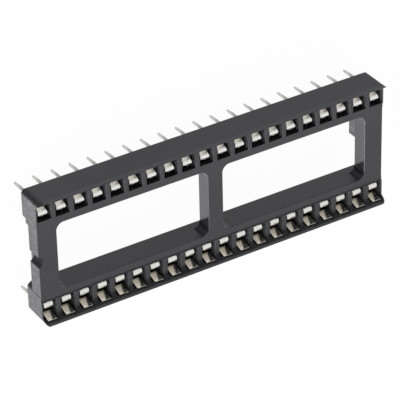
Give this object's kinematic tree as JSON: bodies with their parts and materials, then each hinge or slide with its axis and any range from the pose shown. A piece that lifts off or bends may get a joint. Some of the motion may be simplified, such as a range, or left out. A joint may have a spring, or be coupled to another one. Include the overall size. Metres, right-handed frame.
{
  "type": "dip socket",
  "caption": "Open-frame dual in-line chip socket: black moulded frame with two rows of stamped spring contacts in slots, lead-in lips on both sides and flat solder tails below.",
  "frame": {"origin": "middle of the board seat, the plane of the feet's undersides, halfway between the rows and the ends", "axes": "+X along the rows away from the pin-1 notch, +Y across the rows, +Z out of the lead slots, so the tails point to -Z"},
  "size_m": [0.0506, 0.0176, 0.0081],
  "materials": {
    "housing": "black moulded polyester, fine satin texture",
    "contact": "tin-plated stamped bronze strip",
    "spring_leaf": "tin-plated stamped bronze strip, bright"
  },
  "bodies": {
    "frame": {"housing": "housing", "contact_01": "contact", "contact_02": "contact", "contact_03": "contact", "contact_04": "contact", "contact_05": "contact", "contact_06": "contact", "contact_07": "contact", "contact_08": "contact", "contact_09": "contact", "contact_10": "contact", "contact_11": "contact", "contact_12": "contact", "contact_13": "contact", "contact_14": "contact", "contact_15": "contact", "contact_16": "contact", "contact_17": "contact", "contact_18": "contact", "contact_19": "contact", "contact_20": "contact", "contact_21": "contact", "contact_22": "contact", "contact_23": "contact", "contact_24": "contact", "contact_25": "contact", "contact_26": "contact", "contact_27": "contact", "contact_28": "contact", "contact_29": "contact", "contact_30": "contact", "contact_31": "contact", "contact_32": "contact", "contact_33": "contact", "contact_34": "contact", "contact_35": "contact", "contact_36": "contact", "contact_37": "contact", "contact_38": "contact", "contact_39": "contact", "contact_40": "contact"},
    "upper_leaves": {"upper_row_spring_leaves": "spring_leaf"},
    "lower_leaves": {"lower_row_spring_leaves": "spring_leaf"}
  },
  "joints": [
    {"name": "upper_leaf_flex", "type": "hinge", "parent": "frame", "child": "upper_leaves", "pos_m": [0, 0.00684, 0.00087], "axis": [1, 0, 0], "range_deg": [0, 6], "stiffness_Nm_per_rad": 0.25},
    {"name": "lower_leaf_flex", "type": "hinge", "parent": "frame", "child": "lower_leaves", "pos_m": [0, -0.00684, 0.00087], "axis": [-1, 0, 0], "range_deg": [0, 6], "stiffness_Nm_per_rad": 0.25}
  ]
}
